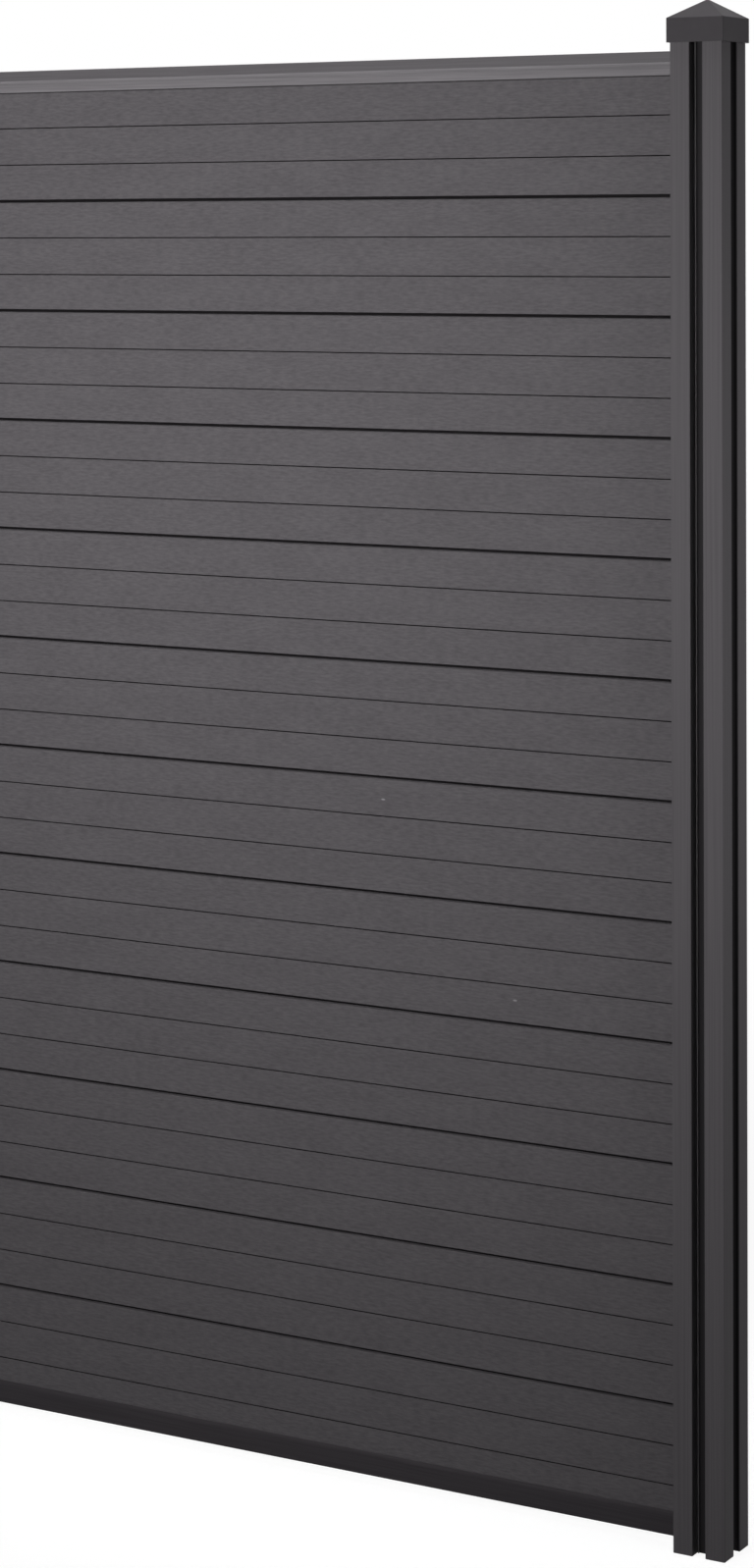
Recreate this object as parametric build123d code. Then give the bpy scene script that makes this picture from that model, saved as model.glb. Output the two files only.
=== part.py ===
from build123d import *
import math
import os

# One bay of a composite privacy fence: twelve hollow boards slide down into the slots of two
# square posts, between a bottom rail that carries them and a top rail that closes the stack.
# +X runs along the fence, +Y to the back and +Z up. The origin is on the ground, midway
# between the posts. All sizes are in millimetres.

# The bay
bay_pitch = 1830.0  # from one post's centre line to the other's
board_count = 12
ground_gap = 11.0  # the bottom rail hangs this far above the ground

# The boards: extruded composite, the same on both faces
strip_pitch = 50.0  # spacing of the lines on a board's face
strips_per_board = 3
board_thickness = 16.0
board_edge_bevel = 1.0
shadow_gap = 3.5  # open joint between the faces of two boards
line_width = 1.6
line_depth = 1.4
tongue_thickness = 5.6
tongue_edge = 0.8  # bevel along the tongue's tip
tongue_play = 0.3  # on each side of a tongue in its groove
groove_depth = 8.5
board_wall = 3.8
board_rib = 4.0
chamber_bevel = 1.2

# The posts: extruded aluminium with a slot in every face
post_width = 70.0
post_edge_radius = 1.5
post_wall = 2.0
slot_play = 0.8  # on each side of a board in its slot
slot_depth = 16.0
slot_lip_bevel = 0.5
slot_rib_thickness = 1.4  # two low ribs run along the floor of each slot
slot_rib_height = 2.5
slot_rib_inset = 1.2  # from the slot's side wall to the rib
board_end_play = 1.5  # from a board's end to the ribs
port_diameter = 5.0  # screw ports between neighbouring slots
port_wall = 1.8
port_weld = 0.8  # how far a port's boss runs into the slot walls

# The bottom rail: an extruded channel with its web raised above its lower edge
base_play = 0.4  # on each side of the board in the channel
base_wall = 2.2
base_leg = 11.5  # below the web
base_web = 2.0
base_lip = 16.5  # above the web
base_lip_round = 6.5  # height over which the lip's outside curves in
base_lip_land = 0.5  # what is left of the lip's thickness at its upper edge
base_end_play = 1.0  # from the rail's end to the post
drain_length = 24.0  # punched slots in the web
drain_width = 5.0
drain_count = 3

# The top rail: an extruded profile that drops over the top board's tongue
top_height = 29.5
top_seat_gap = 0.8  # between the top board's shoulder and the rail
top_wall = 1.6
top_skirt_height = 10.4
top_skirt_lean = 1.3  # how far the skirt flares out on each side
top_line_width = 1.0
top_line_depth = 0.7
top_neck = 0.8  # wall left behind the line
top_bead_height = 4.6
top_bead_stand = 1.0
top_edge_radius = 1.0
top_guide_wall = 1.4
top_guide_depth = 6.0

# The post caps: moulded pyramids
cap_wall = 2.5
cap_play = 0.75  # on each side of the post
cap_skirt = 30.0
cap_rise = 23.0
cap_tip = 2.4
cap_edge_radius = 0.8
cap_gap = 9.0  # from the top rail's upper edge to the cap
cap_stop = 1.5  # how far the stop fins reach down inside the skirt
cap_fin_wall = 2.0
grip_rib_width = 1.6
grip_rib_offset = 24.0

# The brackets under the bottom rail, and their screws
bracket_wall = 2.5
bracket_bend = 2.0
bracket_reach = 30.0  # under the rail, from the post's face
bracket_drop = 19.0
bracket_screw_reach = 18.0  # from the post's face to the screw that goes up into the rail
bracket_screw_drop = 13.0  # from the bracket's top to the screw that goes into the post
screw_diameter = 4.2
screw_length = 9.5
screw_play = 0.15
head_across_flats = 7.0
head_height = 3.2

# Sizes that follow from those above
board_pitch = strip_pitch * strips_per_board
board_height = board_pitch - shadow_gap
tongue_height = shadow_gap + groove_depth
slot_width = board_thickness + 2 * slot_play
clear_opening = bay_pitch - post_width
board_entry = slot_depth - slot_rib_height - board_end_play
board_length = clear_opening + 2 * board_entry
base_width = board_thickness + 2 * (base_play + base_wall)
base_height = base_leg + base_web + base_lip
board_seat = ground_gap + base_leg + base_web
shoulder_level = board_seat + board_count * board_pitch - shadow_gap
top_level = shoulder_level + top_seat_gap
cap_width = post_width + 2 * (cap_play + cap_wall)
cap_level = top_level + top_height + cap_gap
cap_seat = cap_skirt - cap_wall - cap_stop
post_length = cap_level + cap_seat
post_centre = bay_pitch / 2
post_face = clear_opening / 2
slot_floor = post_width / 2 - slot_depth  # from the post's centre line
bracket_level = board_seat - base_web
bracket_plane = post_face + slot_depth - slot_rib_height  # where the bracket bears in the slot
hole_diameter = screw_diameter + 2 * screw_play


def beam(section, length):
    """Run a section drawn across the fence along X, centred on the bay."""
    return extrude(Plane.YZ * section, amount=length / 2, both=True)


def board_section():
    """Section of a board, with the lower edge of its face at height 0."""
    face = Rectangle(board_thickness, board_height)
    section = Pos(0, board_height / 2) * chamfer(face.vertices(), board_edge_bevel)
    tongue = Rectangle(tongue_thickness, 2 * tongue_height)
    tongue = chamfer(tongue.vertices(), tongue_edge)
    section += Pos(0, board_height) * tongue
    groove_width = tongue_thickness + 2 * tongue_play
    section -= Pos(0, groove_depth / 2) * Rectangle(groove_width, groove_depth)

    half_line = line_width / 2
    line = make_face(Polyline((-line_depth, 0), (0, half_line), (0, -half_line), close=True))
    for number in range(1, strips_per_board):
        height = number * strip_pitch - shadow_gap / 2
        section -= Pos(board_thickness / 2, height) * line
        section -= Pos(-board_thickness / 2, height) * Rot(0, 0, 180) * line

    # A rib stands behind each line of the face and halfway between two lines.
    half_strips = range(1, 2 * strips_per_board)
    rib_heights = [number * strip_pitch / 2 - shadow_gap / 2 for number in half_strips]
    chamber_floors = [groove_depth + board_wall] + [height + board_rib / 2 for height in rib_heights]
    chamber_roofs = [height - board_rib / 2 for height in rib_heights] + [board_height - board_wall]
    for floor, roof in zip(chamber_floors, chamber_roofs):
        chamber = Rectangle(board_thickness - 2 * board_wall, roof - floor)
        chamber = chamfer(chamber.vertices(), chamber_bevel)
        section -= Pos(0, (floor + roof) / 2) * chamber
    return section


def bottom_rail_section():
    """Section of the bottom rail, with its lower edge at height 0."""
    section = Pos(0, base_height / 2) * Rectangle(base_width, base_height)
    upper_channel = Rectangle(board_thickness + 2 * base_play, base_lip)
    lower_channel = Rectangle(base_width - 2 * base_wall, base_leg)
    section -= Pos(0, base_height - base_lip / 2) * upper_channel
    section -= Pos(0, base_leg / 2) * lower_channel

    # Each lip is rolled in towards the board along an arc that leaves its face smoothly.
    roll = base_wall - base_lip_land
    arc_radius = (base_lip_round**2 + roll**2) / (2 * roll)
    start = (base_width / 2, base_height - base_lip_round)
    end = (base_width / 2 - roll, base_height)
    arc = RadiusArc(start, end, -arc_radius)
    corner = Polyline(end, (base_width / 2, base_height), start)
    trimming = make_face(arc + corner)
    section -= trimming
    section -= mirror(trimming, Plane.YZ)
    return section


def bottom_rail():
    """The dark channel that carries the boards, with its drain slots and bracket screw holes."""
    length = clear_opening - 2 * base_end_play
    rail = Pos(0, 0, ground_gap) * beam(bottom_rail_section(), length)
    web_middle = board_seat - base_web / 2
    for number in range(drain_count):
        x = ((number + 0.5) / drain_count - 0.5) * length
        rail -= Pos(x, 0, web_middle) * Box(drain_length, drain_width, 2 * base_web)
    for side in (-1, 1):
        x = side * (post_face - bracket_screw_reach)
        rail -= Pos(x, 0, web_middle) * Cylinder(hole_diameter / 2, 2 * base_web)
    return rail


def top_rail_section():
    """Section of the top rail, with its lower edge at height 0."""
    half_foot = board_thickness / 2
    half_top = half_foot - top_skirt_lean
    web_level = tongue_height - top_seat_gap
    outline = Polyline(
        (-half_foot, 0),
        (half_foot, 0),
        (half_top, top_skirt_height),
        (half_top, top_height),
        (-half_top, top_height),
        (-half_top, top_skirt_height),
        close=True,
    )
    section = make_face(outline)
    section = fillet(section.vertices().group_by(Axis.Y)[-1], top_edge_radius)

    # A fine line and a rounded bead run along the face just above the skirt.
    bead_foot = (0, -top_bead_height / 2)
    bead_head = (0, top_bead_height / 2)
    bead_edge = ThreePointArc(bead_foot, (top_bead_stand, 0), bead_head)
    bead = make_face(bead_edge + Line(bead_head, bead_foot))
    bead_level = top_skirt_height + top_line_width + top_bead_height / 2
    line = Rectangle(2 * top_line_depth, top_line_width)
    line_level = top_skirt_height + top_line_width / 2
    for turn in (0, 180):
        face = Rot(0, 0, turn) * Pos(half_top, 0)
        section += Pos(0, bead_level) * face * bead
        section -= Pos(0, line_level) * face * line

    # Below the web it is open for the tongue, above it is a closed box.
    half_inside = half_top - top_line_depth - top_neck
    foot_inside = half_foot - top_wall
    mouth = Polyline(
        (-foot_inside, 0),
        (foot_inside, 0),
        (half_inside, web_level),
        (-half_inside, web_level),
        close=True,
    )
    section -= make_face(mouth)
    box_floor = web_level + top_wall
    box_height = top_height - top_wall - box_floor
    section -= Pos(0, box_floor + box_height / 2) * Rectangle(2 * half_inside, box_height)
    guide_offset = (tongue_thickness + top_guide_wall) / 2 + tongue_play
    for side in (-1, 1):
        guide = Rectangle(top_guide_wall, top_guide_depth)
        section += Pos(side * guide_offset, web_level - top_guide_depth / 2) * guide
    return section


def post_section():
    """Section of a post: a square with four slots, hollow between its walls."""
    outside = RectangleRounded(post_width, post_width, post_edge_radius)
    inside_width = post_width - 2 * post_wall
    inside = Rectangle(inside_width, inside_width)

    slot = Rectangle(slot_width, 2 * slot_depth)
    flare = Rot(0, 0, 45) * Rectangle(math.sqrt(2) * slot_lip_bevel, math.sqrt(2) * slot_lip_bevel)
    slot_case = Rectangle(slot_width + 2 * post_wall, 2 * (slot_depth + post_wall))
    rib = Rectangle(slot_rib_thickness, slot_rib_height)
    rib_offset = slot_width / 2 - slot_rib_inset - slot_rib_thickness / 2
    rib_centre = slot_floor + slot_rib_height / 2

    # A square boss with a screw port fills the neck between the cases of two neighbouring slots.
    case_side = slot_width / 2 + post_wall
    case_floor = slot_floor - post_wall
    port_centre = (case_side + case_floor) / 2
    boss_half = max(port_diameter / 2 + port_wall, (case_floor - case_side) / 2 + port_weld)
    boss = Rectangle(2 * boss_half, 2 * boss_half)

    for quarter in range(4):
        turn = Rot(0, 0, 90 * quarter)
        inside -= turn * Pos(0, post_width / 2) * slot_case
    for quarter in range(4):
        turn = Rot(0, 0, 90 * quarter)
        inside -= turn * Pos(port_centre, port_centre) * boss

    section = outside - inside
    for quarter in range(4):
        turn = Rot(0, 0, 90 * quarter)
        section -= turn * Pos(0, post_width / 2) * slot
        for side in (-1, 1):
            section -= turn * Pos(side * slot_width / 2, post_width / 2) * flare
        section -= turn * Pos(port_centre, port_centre) * Circle(port_diameter / 2)
    for quarter in range(4):
        turn = Rot(0, 0, 90 * quarter)
        for side in (-1, 1):
            section += turn * Pos(side * rib_offset, rib_centre) * rib
    return section


def post():
    """The right-hand post, with a screw hole in the floor of the slot that faces the boards."""
    body = extrude(post_section(), amount=post_length)
    hole = Rot(0, 90, 0) * Cylinder(hole_diameter / 2, 2 * post_wall)
    body -= Pos(-slot_floor, 0, bracket_level - bracket_screw_drop) * hole
    return Pos(post_centre, 0, 0) * body


def cap_form(lower_end):
    """Sharp-edged outer form of a cap: two equal gabled bars crossing at a right angle."""
    eaves = cap_width / 2
    ridge = cap_skirt + cap_rise
    gable = Polyline(
        (-eaves, lower_end),
        (eaves, lower_end),
        (eaves, cap_skirt),
        (cap_tip / 2, ridge),
        (-cap_tip / 2, ridge),
        (-eaves, cap_skirt),
        close=True,
    )
    bar = extrude(Plane.XZ * make_face(gable), amount=eaves, both=True)
    return bar & (Rot(0, 0, 90) * bar)


def post_cap():
    """The cap over the right-hand post: hollow, with stop fins and grip ribs inside."""
    outside = cap_form(0)
    levels = outside.edges().group_by(Axis.Z)
    outside = fillet(outside.edges() - levels[0] - levels[-1], cap_edge_radius)
    cavity = offset(cap_form(-cap_wall), amount=-cap_wall)
    cap = outside - cavity

    # Two crossed fins under the roof stop the cap on the post's end, across the heads of its slots.
    fin_height = cap_rise + 2 * cap_stop
    fin = Pos(0, 0, cap_seat + fin_height / 2) * Box(cap_width, cap_fin_wall, fin_height)
    for angle in (0, 90):
        cap += (Rot(0, 0, angle) * fin) & cavity

    # Low ribs inside the skirt bear on the post's faces.
    rib = Box(grip_rib_width, cap_play, cap_seat)
    for quarter in range(4):
        for side in (-1, 1):
            place = Pos(side * grip_rib_offset, (post_width + cap_play) / 2, cap_seat / 2)
            cap += Rot(0, 0, 90 * quarter) * place * rib
    return Pos(post_centre, 0, cap_level) * cap


def bracket():
    """The right-hand bracket: a bent strip that stands in the post's slot."""
    inner_end = post_face - bracket_reach
    top = bracket_level
    strip = Polyline(
        (inner_end, top),
        (bracket_plane, top),
        (bracket_plane, top - bracket_drop),
        (bracket_plane - bracket_wall, top - bracket_drop),
        (bracket_plane - bracket_wall, top - bracket_wall),
        (inner_end, top - bracket_wall),
        close=True,
    )
    section = make_face(Plane.XZ * strip)
    outer_corner = section.vertices().sort_by_distance((bracket_plane, 0, top))[0]
    section = fillet(outer_corner, bracket_bend + bracket_wall)
    inner_edge = (bracket_plane - bracket_wall, 0, top - bracket_wall)
    inner_corner = section.vertices().sort_by_distance(inner_edge)[0]
    section = fillet(inner_corner, bracket_bend)
    body = extrude(section, amount=board_thickness / 2, both=True)

    hole = Cylinder(hole_diameter / 2, 4 * bracket_wall)
    body -= Pos(post_face - bracket_screw_reach, 0, top) * hole
    body -= Pos(bracket_plane, 0, top - bracket_screw_drop) * Rot(0, 90, 0) * hole
    return body


def screw():
    """A thread-forming hex screw: underside of the head at the origin, blunt end along +Z."""
    head = extrude(RegularPolygon(head_across_flats / 2, 6, major_radius=False), amount=-head_height)
    return head + extrude(Circle(screw_diameter / 2), amount=screw_length)


def bracket_screws():
    """The right-hand bracket's two screws: one up into the rail, one into the post."""
    rail_screw_place = Pos(post_face - bracket_screw_reach, 0, bracket_level - bracket_wall)
    into_rail = rail_screw_place * screw()
    post_screw_place = Pos(bracket_plane - bracket_wall, 0, bracket_level - bracket_screw_drop)
    into_post = post_screw_place * Rot(0, 90, 0) * screw()
    return [into_rail, into_post]


def write(shape, name):
    """Write one piece to its own file."""
    shape.label = name
    export_step(shape, os.path.join("parts", name + ".step"))


os.makedirs("parts", exist_ok=True)
half_turn = Rot(0, 0, 180)

board = beam(board_section(), board_length)
for number in range(board_count):
    write(Pos(0, 0, board_seat + number * board_pitch) * board, f"board_{number + 1:02d}")

write(bottom_rail(), "bottom_rail")
write(Pos(0, 0, top_level) * beam(top_rail_section(), board_length), "top_rail")

right_hand = {"post": post(), "post_cap": post_cap(), "bracket": bracket()}
for name, piece in right_hand.items():
    write(piece, name + "_right")
    write(half_turn * piece, name + "_left")

right_screws = bracket_screws()
left_screws = [half_turn * piece for piece in right_screws]
write(Compound(children=right_screws + left_screws), "bracket_screws")
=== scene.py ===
import math

import bpy
from mathutils import Euler, Matrix, Vector

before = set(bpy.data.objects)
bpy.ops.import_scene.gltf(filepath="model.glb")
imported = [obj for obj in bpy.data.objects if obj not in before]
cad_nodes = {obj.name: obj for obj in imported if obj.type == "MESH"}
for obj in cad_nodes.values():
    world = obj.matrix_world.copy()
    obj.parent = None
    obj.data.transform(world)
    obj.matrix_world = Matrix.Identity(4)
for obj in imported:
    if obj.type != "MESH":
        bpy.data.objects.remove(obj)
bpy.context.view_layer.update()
bpy.ops.object.select_all(action="DESELECT")

# The posts. Each is one aluminium extrusion, 70 mm square with a slot in every face, coated
# with anthracite powder and then cut to length. The die leaves faint lines along the post.

POST_COAT = "605d60"
POST_COAT_DULL = "595659"
# Inside the slots the colour is painted shade near the mouths and on the floors, and painted light
# on the ribs and deep walls.
SLOT_MOUTH_PAINTED_SHADE = "2a282a"
SLOT_DEEP_PAINTED_LIGHT = "807e80"  # painted light: the ribs and the deep walls are painted light grey to lift the deep shade there
SLOT_FLOOR_PAINTED_SHADE = "2f2d2f"
POST_CENTRE = 0.915
SLOT_MOUTH = 0.0343  # this and the next four run from the post's middle; its faces lie at 35 mm
SLOT_INSIDE = 0.0325
RIB_TOP = 0.022
RIB_FOOT = 0.0197
SLOT_FLOOR = 0.0193
DIE_LINE_PITCH = 0.0022  # real ones are about half a millimetre apart; drawn wider to show
DIE_LINE_LENGTH = 0.35
TONE_RANGE = (0.35, 0.65)  # the middle part of a noise's 0 to 1, over which a colour changes
SHEEN_RANGE = (0.3, 0.7)  # a wider part, for slower changes and for roughness
POWDER_GRAIN = 0.0012  # the orange peel of the coat
PEEL_HEIGHT = 0.0002
PEEL_STRENGTH = 0.35
POWDER_ROUGHNESS = (0.46, 0.56)
POWDER_SPECULAR = 0.04
COAT_IOR = 1.5
MIX_FIRST, MIX_SECOND, MIX_RESULT = 6, 7, 2  # the colour sockets of a Mix node


def linear(hex_colour):
    """Linear RGBA of an sRGB colour written as six hex digits."""
    channels = [int(hex_colour[place:place + 2], 16) / 255 for place in (0, 2, 4)]
    return [c / 12.92 if c <= 0.04045 else ((c + 0.055) / 1.055) ** 2.4 for c in channels] + [1.0]


def add_node(tree, kind, inputs, **settings):
    """Add a node with its settings, and fill its sockets from values or other nodes' outputs."""
    node = tree.nodes.new(kind)
    for name, value in settings.items():
        setattr(node, name, value)
    for socket, value in inputs.items():
        if isinstance(value, bpy.types.NodeSocket):
            tree.links.new(value, node.inputs[socket])
        else:
            node.inputs[socket].default_value = value
    return node


def new_material(name):
    """A material with nothing in it but its output; returns material, tree and output."""
    material = bpy.data.materials.new(name)
    material.use_nodes = True
    tree = material.node_tree
    tree.nodes.clear()
    output = tree.nodes.new("ShaderNodeOutputMaterial")
    return material, tree, output


def streaks(tree, size, detail=2.0, roughness=0.5):
    """Noise drawn out to the given size in metres along X, Y and Z; returns its 0 to 1 value."""
    place = tree.nodes.new("ShaderNodeTexCoord").outputs["Object"]
    stretched = add_node(
        tree, "ShaderNodeMapping", {"Vector": place, "Scale": [1 / length for length in size]}
    )
    noise = add_node(
        tree,
        "ShaderNodeTexNoise",
        {
            "Vector": stretched.outputs["Vector"],
            "Scale": 1.0,
            "Detail": detail,
            "Roughness": roughness,
        },
    )
    return noise.outputs["Fac"]


def shade_between(tree, value, low, high, low_colour, high_colour):
    """Colour that goes from low_colour at the value low to high_colour at the value high."""
    ramp = add_node(tree, "ShaderNodeValToRGB", {"Fac": value})
    ramp.color_ramp.elements[0].position = low
    ramp.color_ramp.elements[0].color = linear(low_colour)
    ramp.color_ramp.elements[1].position = high
    ramp.color_ramp.elements[1].color = linear(high_colour)
    return ramp.outputs["Color"]


def span(tree, value, low, high, to_low, to_high):
    """A value between low and high, mapped on to the range from to_low to to_high."""
    mapped = add_node(
        tree,
        "ShaderNodeMapRange",
        {"Value": value, "From Min": low, "From Max": high, "To Min": to_low, "To Max": to_high},
    )
    return mapped.outputs["Result"]


def maths(tree, operation, first, second=0.0):
    """The value of a sum such as ADD, MULTIPLY or MAXIMUM."""
    node = add_node(tree, "ShaderNodeMath", {0: first, 1: second}, operation=operation)
    return node.outputs["Value"]


def mixed(tree, share, first, second):
    """Colour that goes from first to second as the share goes from 0 to 1."""
    sockets = {"Factor": share, MIX_FIRST: first, MIX_SECOND: second}
    return add_node(tree, "ShaderNodeMix", sockets, data_type="RGBA").outputs[MIX_RESULT]


def own_place(tree):
    """The object's own X, Y and Z at the point that is shaded."""
    place = tree.nodes.new("ShaderNodeTexCoord").outputs["Object"]
    return add_node(tree, "ShaderNodeSeparateXYZ", {"Vector": place}).outputs


def dress(node_names, material):
    """Give CAD nodes their real finish."""
    for name in node_names:
        mesh = cad_nodes[name].data
        mesh.materials.clear()
        mesh.materials.append(material)


def powder_coated_post():
    """Powder-coated aluminium, extruded: satin, faint lines along it, fine orange peel; painted
    shade and painted light in the slots.
    """
    material, tree, output = new_material("powder_coated_aluminium_extruded")
    die_lines = streaks(tree, (DIE_LINE_PITCH, DIE_LINE_PITCH, DIE_LINE_LENGTH))
    peel = streaks(tree, (POWDER_GRAIN, POWDER_GRAIN, POWDER_GRAIN))
    relief = add_node(
        tree,
        "ShaderNodeBump",
        {"Height": peel, "Strength": PEEL_STRENGTH, "Distance": PEEL_HEIGHT},
    )
    place = own_place(tree)
    along = maths(tree, "SUBTRACT", maths(tree, "ABSOLUTE", place["X"]), POST_CENTRE)
    across = maths(tree, "ABSOLUTE", place["Y"])
    sideways = maths(tree, "MAXIMUM", maths(tree, "ABSOLUTE", along), across)
    # painted shade and painted light in the slots, by how far in a point lies from the post's
    # faces
    outside = span(tree, sideways, SLOT_INSIDE, SLOT_MOUTH, 0.0, 1.0)
    near_mouth = span(tree, sideways, RIB_TOP, SLOT_INSIDE, 0.0, 1.0)
    wall_painted_shade_and_light = mixed(tree, near_mouth, linear(SLOT_DEEP_PAINTED_LIGHT), linear(SLOT_MOUTH_PAINTED_SHADE))
    off_floor = span(tree, sideways, SLOT_FLOOR, RIB_FOOT, 0.0, 1.0)
    slot_painted_shade_and_light = mixed(tree, off_floor, linear(SLOT_FLOOR_PAINTED_SHADE), wall_painted_shade_and_light)
    face = shade_between(tree, die_lines, *TONE_RANGE, POST_COAT_DULL, POST_COAT)
    coat = add_node(
        tree,
        "ShaderNodeBsdfPrincipled",
        {
            "Base Color": mixed(tree, outside, slot_painted_shade_and_light, face),
            "Roughness": span(tree, die_lines, *SHEEN_RANGE, *POWDER_ROUGHNESS),
            "IOR": COAT_IOR,
            "Specular IOR Level": POWDER_SPECULAR,
            "Normal": relief.outputs["Normal"],
        },
    )
    tree.links.new(coat.outputs["BSDF"], output.inputs["Surface"])
    return material


dress(["post_left", "post_right"], powder_coated_post())

# The brackets and their screws. Each bracket is a strip of zinc-plated steel bent to an angle,
# held by two hex screws, one up into the bottom rail and one through the floor of the post's slot.

ZINC = "a9abac"
ZINC_DULL = "8f9293"
SCREW_ZINC = "b4b6b6"
SCREW_ZINC_DULL = "94979a"
ZINC_PATCH = 0.004
PATCH_DETAIL = 4.0
STRIP_ROUGHNESS = (0.32, 0.46)
SCREW_ROUGHNESS = (0.24, 0.38)


def zinc_plated_steel(name, dull, bright, roughness):
    """Electroplated zinc on steel: metallic, greyish and a little patchy."""
    material, tree, output = new_material(name)
    patches = streaks(tree, (ZINC_PATCH, ZINC_PATCH, ZINC_PATCH), PATCH_DETAIL)
    metal = add_node(
        tree,
        "ShaderNodeBsdfPrincipled",
        {
            "Base Color": shade_between(tree, patches, *TONE_RANGE, dull, bright),
            "Metallic": 1.0,
            "Roughness": span(tree, patches, *SHEEN_RANGE, *roughness),
        },
    )
    tree.links.new(metal.outputs["BSDF"], output.inputs["Surface"])
    return material


zinc_strip = zinc_plated_steel("zinc_plated_steel_strip", ZINC_DULL, ZINC, STRIP_ROUGHNESS)
zinc_screws = zinc_plated_steel(
    "zinc_plated_steel_screws", SCREW_ZINC_DULL, SCREW_ZINC, SCREW_ROUGHNESS
)
dress(["bracket_left", "bracket_right"], zinc_strip)
dress(["bracket_screws"], zinc_screws)

# The bottom rail: a dark powder-coated aluminium channel that the first board stands in. Its upper
# lips are rolled in towards the board, which gives them a soft edge.

RAIL_DARK = "413e41"
RAIL_DARK_DULL = "3b383b"
RAIL_STREAK_LENGTH = 0.12
RAIL_STREAK_HEIGHT = 0.002


def powder_coated_bottom_rail():
    """Powder-coated aluminium in a darker shade, with faint lines along the rail."""
    material, tree, output = new_material("powder_coated_aluminium_dark")
    die_lines = streaks(tree, (RAIL_STREAK_LENGTH, RAIL_STREAK_HEIGHT, RAIL_STREAK_HEIGHT))
    peel = streaks(tree, (POWDER_GRAIN, POWDER_GRAIN, POWDER_GRAIN))
    relief = add_node(
        tree,
        "ShaderNodeBump",
        {"Height": peel, "Strength": PEEL_STRENGTH, "Distance": PEEL_HEIGHT},
    )
    coat = add_node(
        tree,
        "ShaderNodeBsdfPrincipled",
        {
            "Base Color": shade_between(tree, die_lines, *TONE_RANGE, RAIL_DARK_DULL, RAIL_DARK),
            "Roughness": span(tree, die_lines, *SHEEN_RANGE, *POWDER_ROUGHNESS),
            "IOR": COAT_IOR,
            "Specular IOR Level": POWDER_SPECULAR,
            "Normal": relief.outputs["Normal"],
        },
    )
    tree.links.new(coat.outputs["BSDF"], output.inputs["Surface"])
    return material


dress(["bottom_rail"], powder_coated_bottom_rail())

# The boards: hollow wood-plastic composite, extruded through a die that gives the tongue, the
# groove and the fine lines. A roller embosses short grain into both faces while they are warm.
# The joints and fine lines are painted near black as painted shade; the shoulders, facing up to
# the light, keep the face's tone.

BOARD_LIGHT = "646164"
BOARD_DARK = "555255"
GRAIN_LENGTH = 0.013
GRAIN_HEIGHT = 0.0026  # the real grain is nearer 1 mm; drawn taller so that it shows from afar
GRAIN_DETAIL = 3.0
GRAIN_FINENESS = 0.6  # how strongly its finer steps show
GRAIN_DEPTH = 0.0006
GRAIN_STRENGTH = 0.42
BLOTCH_LENGTH = 0.07
BLOTCH_HEIGHT = 0.02
GRAIN_SHARE = 0.8  # how much of the tone comes from the grain, and how much from the blotches
BLOTCH_SHARE = 0.2
BOARD_ROUGHNESS = (0.62, 0.78)
BOARD_SPECULAR = 0.08
JOINT_PAINTED_SHADE = "100e10"  # painted shade: near black in the joints and the fine lines, deeper than the faces
PAINTED_SHADE_DEPTH = 0.0076  # from the board's middle plane; its faces lie at 8 mm
FACE_DEPTH = 0.0079
BOARD_PITCH = 0.15
SHOULDER = 0.0206  # mid-height of the shoulder and its 1 mm bevel, above each whole pitch
SHOULDER_REACH = (0.0007, 0.0009)  # between these, up and down from there, the face's tone ends
FLECK = "8f8c8f"  # a chip of pale wood or filler that lies bare in the face
FLECK_SIZE = (0.0036, 0.002, 0.0014)
FLECK_HEART = 0.5  # the share of its size that is wholly pale
FLECK_PLACES = ((0.4542, -0.008, 0.8947), (0.6469, -0.008, 0.6536))
board_names = sorted(name for name in cad_nodes if name.startswith("board_"))


def near(tree, centre, size):
    """1 close to a place, falling to 0 where a blob of the given half sizes round it ends."""
    place = tree.nodes.new("ShaderNodeTexCoord").outputs["Object"]
    away = add_node(tree, "ShaderNodeVectorMath", {0: place, 1: centre}, operation="SUBTRACT")
    scaled = add_node(
        tree, "ShaderNodeVectorMath", {0: away.outputs["Vector"], 1: size}, operation="DIVIDE"
    )
    length = add_node(
        tree, "ShaderNodeVectorMath", {0: scaled.outputs["Vector"]}, operation="LENGTH"
    )
    return span(tree, length.outputs["Value"], FLECK_HEART, 1.0, 1.0, 0.0)


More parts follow.
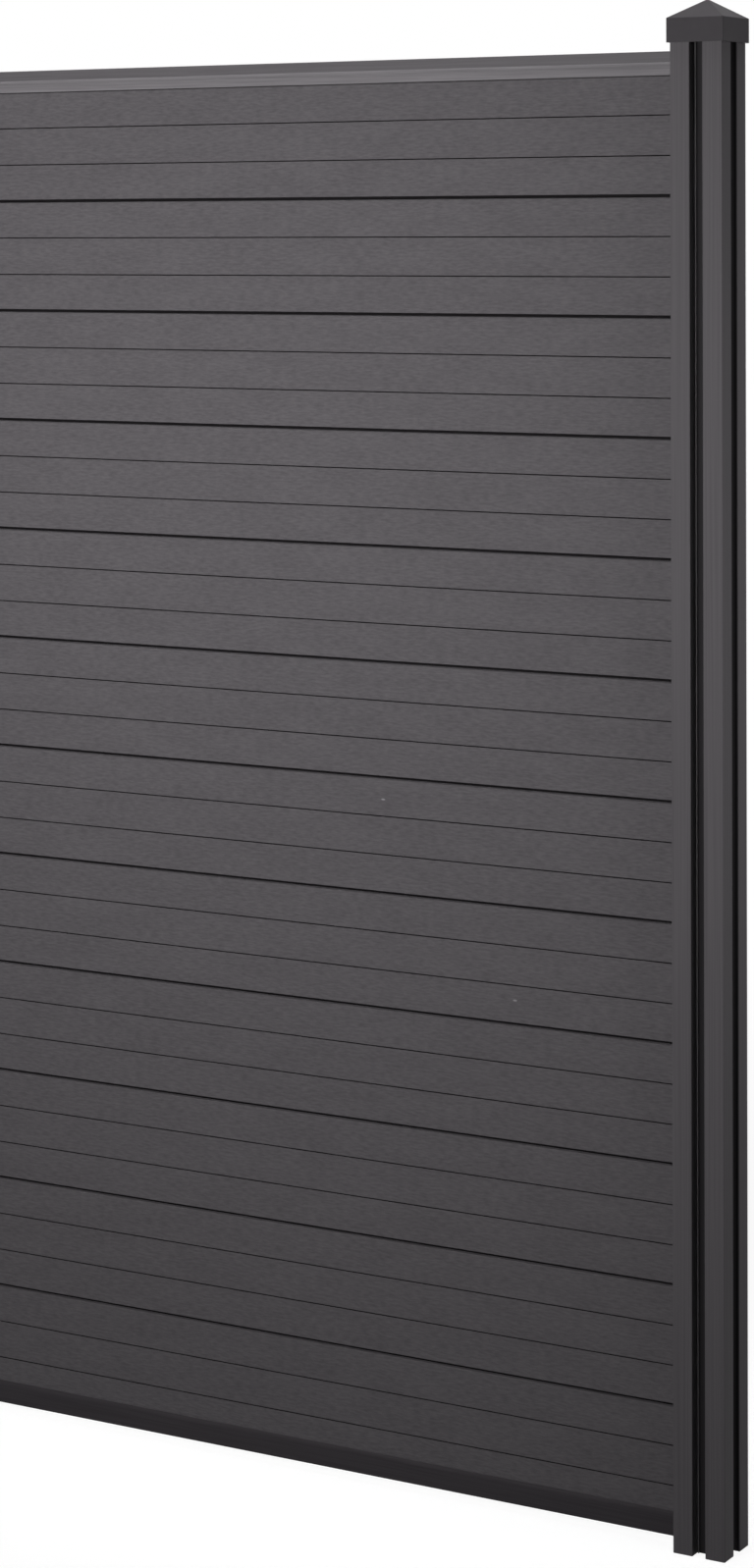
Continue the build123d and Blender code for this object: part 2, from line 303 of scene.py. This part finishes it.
def embossed_composite():
    """Wood-plastic composite, embossed: matte, short raised grain, soft blotches; painted shade in
    the joints and fine lines.
    """
    material, tree, output = new_material("wood_plastic_composite_embossed")
    grain_size = (GRAIN_LENGTH, GRAIN_HEIGHT, GRAIN_HEIGHT)
    grain = streaks(tree, grain_size, GRAIN_DETAIL, GRAIN_FINENESS)
    blotches = streaks(tree, (BLOTCH_LENGTH, BLOTCH_HEIGHT, BLOTCH_HEIGHT))
    from_grain = maths(tree, "MULTIPLY", grain, GRAIN_SHARE)
    tone = maths(tree, "ADD", from_grain, maths(tree, "MULTIPLY", blotches, BLOTCH_SHARE))
    relief = add_node(
        tree,
        "ShaderNodeBump",
        {"Height": grain, "Strength": GRAIN_STRENGTH, "Distance": GRAIN_DEPTH},
    )
    face = shade_between(tree, tone, *TONE_RANGE, BOARD_DARK, BOARD_LIGHT)
    # painted shade: deeper than the faces the colour goes near black, except on the shoulders
    place = own_place(tree)
    depth = maths(tree, "ABSOLUTE", place["Y"])
    outside = span(tree, depth, PAINTED_SHADE_DEPTH, FACE_DEPTH, 0.0, 1.0)
    above_pitch = maths(tree, "MODULO", place["Z"], BOARD_PITCH)
    from_shoulder = maths(tree, "ABSOLUTE", maths(tree, "SUBTRACT", above_pitch, SHOULDER))
    shoulder = span(tree, from_shoulder, *SHOULDER_REACH, 1.0, 0.0)
    outside_painted_shade = maths(tree, "MAXIMUM", outside, shoulder)
    for fleck_place in FLECK_PLACES:
        face = mixed(tree, near(tree, fleck_place, FLECK_SIZE), face, linear(FLECK))
    composite = add_node(
        tree,
        "ShaderNodeBsdfPrincipled",
        {
            "Base Color": mixed(tree, outside_painted_shade, linear(JOINT_PAINTED_SHADE), face),
            "Roughness": span(tree, grain, *SHEEN_RANGE, *BOARD_ROUGHNESS),
            "IOR": COAT_IOR,
            "Specular IOR Level": BOARD_SPECULAR,
            "Normal": relief.outputs["Normal"],
        },
    )
    tree.links.new(composite.outputs["BSDF"], output.inputs["Surface"])
    return material


dress(board_names, embossed_composite())

# The top rail: a thin aluminium profile pressed down over the top board's tongue. Its coat is
# glossier than the posts', lines from the die run along it, and it has painted light from the bead
# down.

RAIL_LIGHT = "5e5b5e"
RAIL_LIGHT_DULL = "575457"
SKIRT_PAINTED_LIGHT = "797679"  # painted light: the bead and the skirt below it are painted brighter, where they lean up to the light
SKIRT_PAINTED_LIGHT_DULL = "6d6a6d"
BEAD_TOP = 1.8374  # heights between which the bead's painted light gives way to the band's tone above it
BAND_FOOT = 1.8382
RAIL_RELIEF_HEIGHT = 0.0002
RAIL_RELIEF_STRENGTH = 0.2
RAIL_ROUGHNESS = (0.42, 0.52)
RAIL_SPECULAR = 0.15


def coated_top_rail():
    """Painted aluminium, extruded: satin, with lines along the rail, and painted light on the bead
    and skirt.
    """
    material, tree, output = new_material("painted_aluminium_extruded")
    die_lines = streaks(tree, (RAIL_STREAK_LENGTH, RAIL_STREAK_HEIGHT, RAIL_STREAK_HEIGHT))
    relief = add_node(
        tree,
        "ShaderNodeBump",
        {"Height": die_lines, "Strength": RAIL_RELIEF_STRENGTH, "Distance": RAIL_RELIEF_HEIGHT},
    )
    above = span(tree, own_place(tree)["Z"], BEAD_TOP, BAND_FOOT, 0.0, 1.0)
    band = shade_between(tree, die_lines, *TONE_RANGE, RAIL_LIGHT_DULL, RAIL_LIGHT)
    skirt_painted_light = shade_between(tree, die_lines, *TONE_RANGE, SKIRT_PAINTED_LIGHT_DULL, SKIRT_PAINTED_LIGHT)
    coat = add_node(
        tree,
        "ShaderNodeBsdfPrincipled",
        {
            "Base Color": mixed(tree, above, skirt_painted_light, band),
            "Roughness": span(tree, die_lines, *SHEEN_RANGE, *RAIL_ROUGHNESS),
            "IOR": COAT_IOR,
            "Specular IOR Level": RAIL_SPECULAR,
            "Normal": relief.outputs["Normal"],
        },
    )
    tree.links.new(coat.outputs["BSDF"], output.inputs["Surface"])
    return material


dress(["top_rail"], coated_top_rail())

# The post caps: injection-moulded ASA plastic, pushed down over the posts. The mould's eroded
# walls leave a fine even grain, which makes the plastic matte.

CAP_PLASTIC = "3a373a"
CAP_PLASTIC_WORN = "413e41"
MOULD_GRAIN = 0.0012
MOULD_GRAIN_HEIGHT = 0.0002
MOULD_GRAIN_STRENGTH = 0.3
CAP_PATCH = 0.025
CAP_ROUGHNESS = (0.6, 0.7)
CAP_SPECULAR = 0.15
ASA_IOR = 1.49


def moulded_cap():
    """ASA plastic, moulded in an eroded mould: matte, with a fine grain and slight cloudiness."""
    material, tree, output = new_material("asa_plastic_moulded")
    clouds = streaks(tree, (CAP_PATCH, CAP_PATCH, CAP_PATCH))
    grain = streaks(tree, (MOULD_GRAIN, MOULD_GRAIN, MOULD_GRAIN))
    relief = add_node(
        tree,
        "ShaderNodeBump",
        {"Height": grain, "Strength": MOULD_GRAIN_STRENGTH, "Distance": MOULD_GRAIN_HEIGHT},
    )
    plastic = add_node(
        tree,
        "ShaderNodeBsdfPrincipled",
        {
            "Base Color": shade_between(tree, clouds, *SHEEN_RANGE, CAP_PLASTIC, CAP_PLASTIC_WORN),
            "Roughness": span(tree, clouds, *SHEEN_RANGE, *CAP_ROUGHNESS),
            "IOR": ASA_IOR,
            "Specular IOR Level": CAP_SPECULAR,
            "Normal": relief.outputs["Normal"],
        },
    )
    tree.links.new(plastic.outputs["BSDF"], output.inputs["Surface"])
    return material


dress(["post_cap_left", "post_cap_right"], moulded_cap())

# The studio's floor: a matte pale sheet under the bay that runs out to white and keeps the bay's
# soft shadow. It isn't part of the object.

FLOOR_SIZE = 60.0
FLOOR_PALE = "7c7c7c"
FLOOR_GLOW = 0.9  # added for the camera and for reflections only
FLOOR_GLOW_FAR = 1.0
NEAR, FAR = 1.2, 3.5  # the glow grows between these distances from the bay's middle

bpy.ops.mesh.primitive_plane_add(size=FLOOR_SIZE, location=(0, 0, 0))
floor = bpy.context.object
floor.name = "floor"


def seen_directly(tree):
    """1 for the camera's own rays and for rays that mirror or glass sends on, 0 for all others."""
    path = tree.nodes.new("ShaderNodeLightPath").outputs
    mirrored = maths(tree, "MAXIMUM", path["Is Glossy Ray"], path["Is Transmission Ray"])
    return maths(tree, "MAXIMUM", path["Is Camera Ray"], mirrored)


def pale_floor():
    """Matte studio floor; the glow lifts it to white where nothing shades it."""
    material, tree, output = new_material("matte_studio_floor")
    paint = add_node(tree, "ShaderNodeBsdfDiffuse", {"Color": linear(FLOOR_PALE)})
    place = tree.nodes.new("ShaderNodeTexCoord").outputs["Object"]
    distance = add_node(tree, "ShaderNodeVectorMath", {0: place}, operation="LENGTH")
    strength = span(tree, distance.outputs["Value"], NEAR, FAR, FLOOR_GLOW, FLOOR_GLOW_FAR)
    lift = maths(tree, "MULTIPLY", seen_directly(tree), strength)
    glow = add_node(tree, "ShaderNodeEmission", {"Strength": lift})
    both = add_node(
        tree, "ShaderNodeAddShader", {0: paint.outputs["BSDF"], 1: glow.outputs["Emission"]}
    )
    tree.links.new(both.outputs["Shader"], output.inputs["Surface"])
    return material


floor.data.materials.append(pale_floor())

# The studio's light: a soft box in front of the bay at three quarters of its height and one like
# it behind, a weaker one at each side and a narrow strip above. The background is white.

STUDIO_WHITE = "ffffff"
AMBIENT = 0.01  # the surround's strength as light on the object
BACKGROUND_WHITE = 1.0  # its strength where the camera or a reflection sees it
FACE_BOX = {"width": 1.6, "height": 0.9, "spread": 112}  # metres, and degrees for the beam
TOP_BOX = {"width": 2.4, "height": 0.3, "spread": 40}
END_BOX = {"width": 0.8, "height": 0.8, "spread": 110}

world = bpy.data.worlds.new("studio")
bpy.context.scene.world = world
world.use_nodes = True
sky = world.node_tree
sky.nodes.clear()
sky_strength = span(sky, seen_directly(sky), 0.0, 1.0, AMBIENT, BACKGROUND_WHITE)
surround = add_node(
    sky, "ShaderNodeBackground", {"Color": linear(STUDIO_WHITE), "Strength": sky_strength}
)
sky_output = sky.nodes.new("ShaderNodeOutputWorld")
sky.links.new(surround.outputs["Background"], sky_output.inputs["Surface"])


def soft_box(name, place, aim, width, height, spread, watts):
    """An area lamp at a place, turned towards a point; a grid in front of it narrows its beam."""
    lamp = bpy.data.lights.new(name, "AREA")
    lamp.shape = "RECTANGLE"
    lamp.size = width
    lamp.size_y = height
    lamp.spread = math.radians(spread)
    lamp.energy = watts
    holder = bpy.data.objects.new(name, lamp)
    holder.location = place
    holder.rotation_euler = (Vector(aim) - Vector(place)).to_track_quat("-Z", "Y").to_euler()
    holder.visible_camera = False
    bpy.context.scene.collection.objects.link(holder)


soft_box("front_box", (0.1, -2.3, 1.47), (0.1, 0.0, 1.47), **FACE_BOX, watts=21.4)
soft_box("top_box", (0.2, -0.05, 2.6), (0.2, -0.02, 1.85), **TOP_BOX, watts=2.3)
soft_box("right_box", (2.4, -0.3, 1.15), (0.9, 0.0, 1.15), **END_BOX, watts=3.4)
soft_box("left_box", (-2.4, -0.3, 1.15), (-0.9, 0.0, 1.15), **END_BOX, watts=3.4)
soft_box("back_box", (-0.1, 2.3, 1.47), (-0.1, 0.0, 1.47), **FACE_BOX, watts=22)

# The camera stands to the right of the bay at eye height, a little over 30 degrees off its face,
# and leans by a fifth of a degree.

PHOTO_HEIGHT = 1598  # pixels; the frame's longer side, which the sensor's width covers
CAMERA_PLACE = (2.809, -4.027, 1.634)
CAMERA_YAW = 30.435  # degrees, as the next two are
CAMERA_PITCH = -1.0
CAMERA_ROLL = -0.213
FOCAL_PIXELS = 3675
PRINCIPAL_ROW = 297  # where the lens's axis meets the frame, in rows from its top
SENSOR = 36.0  # millimetres

lens = bpy.data.cameras.new("photo_camera")
lens.sensor_width = SENSOR
lens.lens = FOCAL_PIXELS * SENSOR / PHOTO_HEIGHT
lens.shift_y = (PRINCIPAL_ROW - PHOTO_HEIGHT / 2) / PHOTO_HEIGHT
camera = bpy.data.objects.new("photo_camera", lens)
camera.location = CAMERA_PLACE
upright = Euler((math.radians(90 + CAMERA_PITCH), 0.0, math.radians(CAMERA_YAW))).to_matrix()
camera.rotation_euler = (upright @ Matrix.Rotation(math.radians(CAMERA_ROLL), 3, "Z")).to_euler()
bpy.context.scene.collection.objects.link(camera)
bpy.context.scene.camera = camera
bpy.context.scene.view_settings.view_transform = "Standard"
